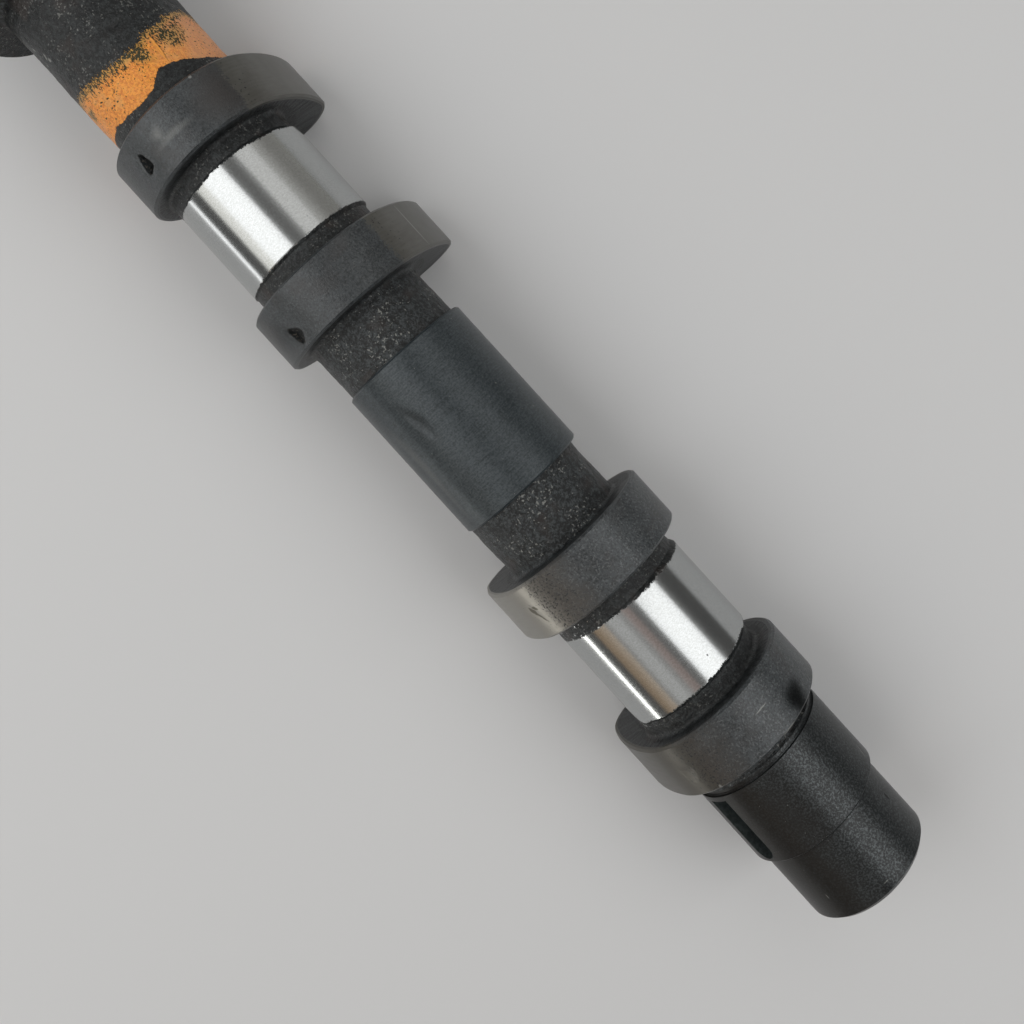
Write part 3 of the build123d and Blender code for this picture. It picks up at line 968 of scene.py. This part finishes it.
BLOOMS = {
    "brown_on_tail_lobe": (156.5, -30.0, 8.0, 6.5),
    "brown_by_the_keyed_lobe": (13.0, 36.0, 7.0, 6.0),
}
SCUFFS = {
    "scuff_on_far_side": (171.2, -40.0, 2.9, 4.2),
    "scuff_at_the_rim": (170.6, -10.0, 2.6, 1.8, 1.0, 30),
    "scuff_below": (172.0, 66.0, 2.0, 2.4),
}
# The border of the paint: angle in degrees, then the stations of its near and its far edge
PAINT_BORDER = (
    (-180, 165.0, 176.0), (-110, 164.5, 175.4), (-67, 164.3, 175.7), (-46, 165.2, 175.0),
    (-38, 166.0, 174.1), (-24, 166.8, 174.0), (-13, 167.2, 172.7), (-6, 166.1, 172.8),
    (0, 165.0, 172.6), (15, 164.5, 173.2), (26, 165.0, 173.7), (38, 165.4, 174.5),
    (47, 166.1, 175.0), (63, 166.0, 175.9), (180, 165.0, 176.0),
)
print(sum(map(len, (DENTS, HOLLOWS, PAINTED_SHADE_AND_DARK_PATCH, GLOWS, BLOOMS, SCUFFS))), "marks")

# %% Press and keep the marks
OUTLINE_WAVE, EDGE_SOFTNESS = 0.3, 1.5
OUTSIDE_FROM = 11


def spot(points, x, degrees, length, width, strength=1.0, tilt=0):
    """What a soft oval adds at each point: its strength at the middle, and 0 outside."""
    turn = np.arctan2(points[:, 1], points[:, 2])
    radius = np.hypot(points[:, 1], points[:, 2])
    across = (turn - math.radians(degrees) + math.pi) % (2 * math.pi) - math.pi
    across, along = across * radius / MM, points[:, 0] / MM - x
    lean = math.radians(tilt)
    long = (along * math.cos(lean) + across * math.sin(lean)) / length
    short = (across * math.cos(lean) - along * math.sin(lean)) / width
    lumpy = 1 + OUTLINE_WAVE * np.sin(3 * np.arctan2(short, long) + x)
    away = np.clip(1 - (long**2 + short**2) * lumpy, 0, 1)
    return np.where(radius > OUTSIDE_FROM * MM, strength * away**EDGE_SOFTNESS, 0)


def strongest(points, *kinds):
    """The strongest of all the marks of these kinds, at each point."""
    return np.max([spot(points, *mark) for marks in kinds for mark in marks.values()], axis=0)


def mark_casting(mesh):
    """Presses the dents and keeps marks and paint borders as numbers on the points."""
    points = np.empty(3 * len(mesh.vertices), dtype=np.float32)
    mesh.vertices.foreach_get("co", points)
    points = points.reshape(-1, 3).astype(float)
    sink = strongest(points, DENTS, HOLLOWS) * MM
    kinds = {"painted_shade_mask": DENTS, "shade": PAINTED_SHADE_AND_DARK_PATCH, "glow": GLOWS, "bloom": BLOOMS, "scuff": SCUFFS}
    for name, marks in kinds.items():
        add_values(mesh, name, strongest(points, marks))
    turn, x = np.degrees(np.arctan2(points[:, 1], points[:, 2])), points[:, 0] / MM
    angles, near, far = np.array(PAINT_BORDER).T
    add_values(mesh, "paint_near", x - np.interp(turn, angles, near))
    add_values(mesh, "paint_far", np.interp(turn, angles, far) - x)
    radius = np.maximum(np.hypot(points[:, 1], points[:, 2]), MM)
    points[:, 1:] *= ((radius - sink) / radius)[:, None]
    mesh.vertices.foreach_set("co", points.astype(np.float32).ravel())
    mesh.update()
    print("points in dents", int((sink > 0).sum()))


mark_casting(shaped)

# %% [markdown]
# The keyway was milled with an end cutter that entered at the front, so its front end is round
# and its back end was squared. A solid of that shape is cut from the seat with a Boolean, as
# the mill did.

# %% Keyway
KEY_WIDTH, KEY_DEPTH, KEY_ANGLE = 4.4, 2.6, math.radians(57)
KEY_FRONT_LAND, KEY_BACK_LAND = 0.9, 1.0
ARC_STEPS, CUTTER_PROUD = 14, 1.0
SHARP_FROM = math.radians(32)


def key_cutter():
    """Closed solid of the keyway, standing a little proud of the seat."""
    half, back = KEY_WIDTH / 2, SEAT_HALF - GROOVE_WIDTH - KEY_BACK_LAND
    middle = -SEAT_HALF + KEY_FRONT_LAND + half
    arc = [math.pi / 2 + math.pi * step / ARC_STEPS for step in range(ARC_STEPS + 1)]
    outline = [(middle + half * math.cos(a), half * math.sin(a)) for a in arc]
    outline += [(back, -half), (back, half)]
    out = Vector((0, math.sin(KEY_ANGLE), math.cos(KEY_ANGLE)))
    side = Vector((0, math.cos(KEY_ANGLE), -math.sin(KEY_ANGLE)))
    levels = (SEAT_R - KEY_DEPTH, SEAT_R + CUTTER_PROUD)
    points = [(Vector((x, 0, 0)) + side * y + out * level) * MM
              for level in levels for x, y in outline]
    count = len(outline)
    faces = [tuple(range(count)), tuple(range(count, 2 * count))]
    for index in range(count):
        after = (index + 1) % count
        faces.append((index, after, after + count, index + count))
    mesh = bpy.data.meshes.new("key_cutter")
    mesh.from_pydata(points, [], faces)
    point_outwards(mesh)
    mesh.materials.append(keyway_finish)
    return in_scene("key_cutter", mesh)


def point_outwards(mesh):
    """Turns every face of a closed mesh outwards."""
    work = bmesh.new()
    work.from_mesh(mesh)
    bmesh.ops.recalc_face_normals(work, faces=work.faces)
    work.to_mesh(mesh)
    work.free()


casting, cutter = in_scene("camshaft_iron", shaped), key_cutter()
cut = casting.modifiers.new("keyway", "BOOLEAN")
cut.operation, cut.object, cut.solver = "DIFFERENCE", cutter, "EXACT"
cut.material_mode = "TRANSFER"
keyed = plain_mesh(casting)
casting.data = keyed
bpy.data.objects.remove(cutter)
keyed.name = "camshaft_iron"
for face in keyed.polygons:
    face.use_smooth = True
keyed.set_sharp_from_angle(angle=SHARP_FROM)
print("casting", len(keyed.polygons), "faces", [material.name for material in keyed.materials])

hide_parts("camshaft")
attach(casting, "root")

# %% [markdown]
# The sprocket's bolt screws into the nose. A tap cuts its thread along a helix, so the thread is
# one ridge swept along a spiral, with its foot sunk a little into the wall of the hole.

# %% Bolt thread
THREAD_INPUTS = {
    "Middle Radius": (THREAD_CREST_R + THREAD_ROOT_R) / 2 * MM,
    "Ridge Reach": (THREAD_ROOT_R - THREAD_CREST_R) / 2 * MM,
    "Length": (THREAD_DEPTH - THREAD_START) * MM,
    "Turns": (THREAD_DEPTH - THREAD_START) / THREAD_PITCH,
    "Start": NOSE_END * MM + THREAD_START * MM,
}
STEPS_PER_TURN = 40


def thread_tree(material):
    """Modifier tree that sweeps the thread's ridge along its helix, as a plain mesh."""
    tree, given = open_group("bolt_thread", THREAD_INPUTS)
    helix = tree.node("GeometryNodeCurveSpiral", {}, {
        "Resolution": STEPS_PER_TURN, "Rotations": given["Turns"], "Height": given["Length"],
        "Start Radius": given["Middle Radius"], "End Radius": given["Middle Radius"],
    })
    helix = tree.node("GeometryNodeSetCurveNormal", {"mode": "Z_UP"}, {"Curve": helix})
    ridge = tree.node("GeometryNodeCurvePrimitiveCircle", {}, {"Resolution": 4})
    reach = tree.node("ShaderNodeCombineXYZ", {}, [given["Ridge Reach"]] * 3)
    ridge = tree.node("GeometryNodeTransform", {}, {"Geometry": ridge, "Scale": reach})
    swept = {"Curve": helix, "Profile Curve": ridge, "Fill Caps": True}
    body = tree.node("GeometryNodeCurveToMesh", {}, swept)
    start = tree.node("ShaderNodeCombineXYZ", {}, [given["Start"], 0.0, 0.0])
    laid_down = {"Geometry": body, "Rotation": (0, math.pi / 2, 0), "Translation": start}
    body = tree.node("GeometryNodeTransform", {}, laid_down)
    body = tree.node("GeometryNodeRealizeInstances", {}, {"Geometry": body})
    body = tree.node("GeometryNodeSetMaterial", {}, {"Geometry": body, "Material": material})
    return close_group(tree, body)


blank = in_scene("thread_blank", bpy.data.meshes.new("thread_blank"))
blank.data.materials.append(finishes[DRIVE])
thread = in_scene("bolt_thread", grown(blank, thread_tree(finishes[DRIVE]), THREAD_INPUTS))
bpy.data.objects.remove(blank)
thread.data.name = "bolt_thread"
point_outwards(thread.data)
radii = [math.hypot(point.co.y, point.co.z) / MM for point in thread.data.vertices]
span = [round(radius, 2) for radius in (min(radii), max(radii))]
print("thread", len(thread.data.polygons), "faces, radius", *span)

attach(thread, "root")

# %% [markdown]
# ## The studio
# Bright metal shows its surroundings, so the lights are placed from what the bearings mirror.
# Two large softboxes hang overhead on one diagonal, with weaker ones round them, and two low
# strips stand off to one side. The strips are only mirrored: as light they would bleach the floor
# in front of them. The floor and the backdrop are pale and plain.

# %% Floor
PALE, FLOOR_ROUGH = (0.70, 0.705, 0.71), 0.9
FLOOR_REACH = 1.6


def pale_floor():
    """Large plain floor."""
    places = [(-1, -1), (1, -1), (1, 1), (-1, 1)]
    places = [(x * FLOOR_REACH, y * FLOOR_REACH, FLOOR_Z) for x, y in places]
    mesh = bpy.data.meshes.new("floor")
    mesh.from_pydata(places, [], [(0, 1, 2, 3)])
    material = bpy.data.materials.new("pale_floor")
    material.use_nodes = True
    shader = material.node_tree.nodes["Principled BSDF"]
    shader.inputs["Base Color"].default_value = (*PALE, 1)
    shader.inputs["Roughness"].default_value = FLOOR_ROUGH
    mesh.materials.append(material)
    in_scene("floor", mesh)


pale_floor()

# %% Lights
def softbox(name, middle, size, radiance, aim=None, colour=(1, 1, 1), mirrored_only=False):
    """Area lamp of a brightness per surface, facing down or towards a point."""
    light = bpy.data.lights.new(name, "AREA")
    light.shape, light.size, light.size_y = "RECTANGLE", *size
    light.energy = radiance * math.pi * size[0] * size[1]
    light.color = colour
    lamp = in_scene(name, light)
    ahead = Vector(aim) - Vector(middle) if aim else Vector((0, 0, -1))
    lamp.rotation_euler = ahead.to_track_quat("-Z", "Y").to_euler()
    lamp.location = middle
    lamp.visible_camera, lamp.visible_diffuse = False, not mirrored_only


HIGH = 0.5
softbox("softbox_left", (0.42, 0.32, HIGH), (0.60, 0.48), 1.75)
softbox("softbox_left_far", (0.44, 0.83, HIGH), (0.60, 0.54), 1.30, colour=(1, 0.98, 0.92))
softbox("softbox_left_low", (0.42, -0.33, HIGH), (0.60, 0.34), 0.5, colour=(1, 0.99, 0.96))
softbox("softbox_right", (-0.32, -0.40, HIGH), (0.52, 0.59), 1.74)
softbox("softbox_right_low", (-0.15, 0.33, HIGH), (0.22, 0.24), 0.18)
softbox("rose_wall", (-0.11, 0.07, HIGH), (0.22, 0.11), 0.22, colour=(1, 0.60, 0.50))
softbox("tan_wall", (-0.25, 1.02, HIGH), (0.40, 0.92), 0.34, colour=(1, 0.64, 0.32))
softbox("far_wall", (0.60, -1.45, HIGH), (0.70, 1.90), 0.24, colour=(1, 0.96, 0.88))
softbox("low_wall", (0.56, -1.5, 0.14), (0.40, 0.34), 0.26, (0.56, 0, 0.14), (1, 0.97, 0.88))
softbox("rim_strip_front", (-0.05, 0.42, -0.003), (0.24, 0.033), 6.0, (-0.05, 0, -0.003),
        (1, 0.99, 0.94), mirrored_only=True)
softbox("rim_strip_back", (0.32, 0.42, 0.004), (0.40, 0.047), 2.2, (0.32, 0, 0.004),
        mirrored_only=True)


def studio_air():
    """Dim surroundings, brighter overhead than at the horizon, and a pale backdrop for the eye."""
    world = bpy.data.worlds.new("studio_air")
    bpy.context.scene.world = world
    world.use_nodes = True
    tree = Tree(world.node_tree)
    direction = tree.node("ShaderNodeTexCoord", output=0)
    height = tree.node("ShaderNodeSeparateXYZ", {}, [direction], output=2)
    across = tree.node("ShaderNodeSeparateXYZ", {}, [direction], output=1).math("ABSOLUTE")
    overhead = tree.smooth(height, 0.35, 0.8) * (0.25 + tree.smooth(across, 0.1, 0.35) * 0.75)
    seen_directly = tree.node("ShaderNodeLightPath")
    strength = (0.12 + overhead * 0.42) * (1 - seen_directly) + seen_directly * 0.5
    background = world.node_tree.nodes["Background"]
    background.inputs["Color"].default_value = (1.0, 0.985, 0.96, 1)
    world.node_tree.links.new(strength.socket, background.inputs["Strength"])


studio_air()
bpy.context.scene.view_settings.view_transform = "Standard"
print("lights", len(bpy.data.lights))
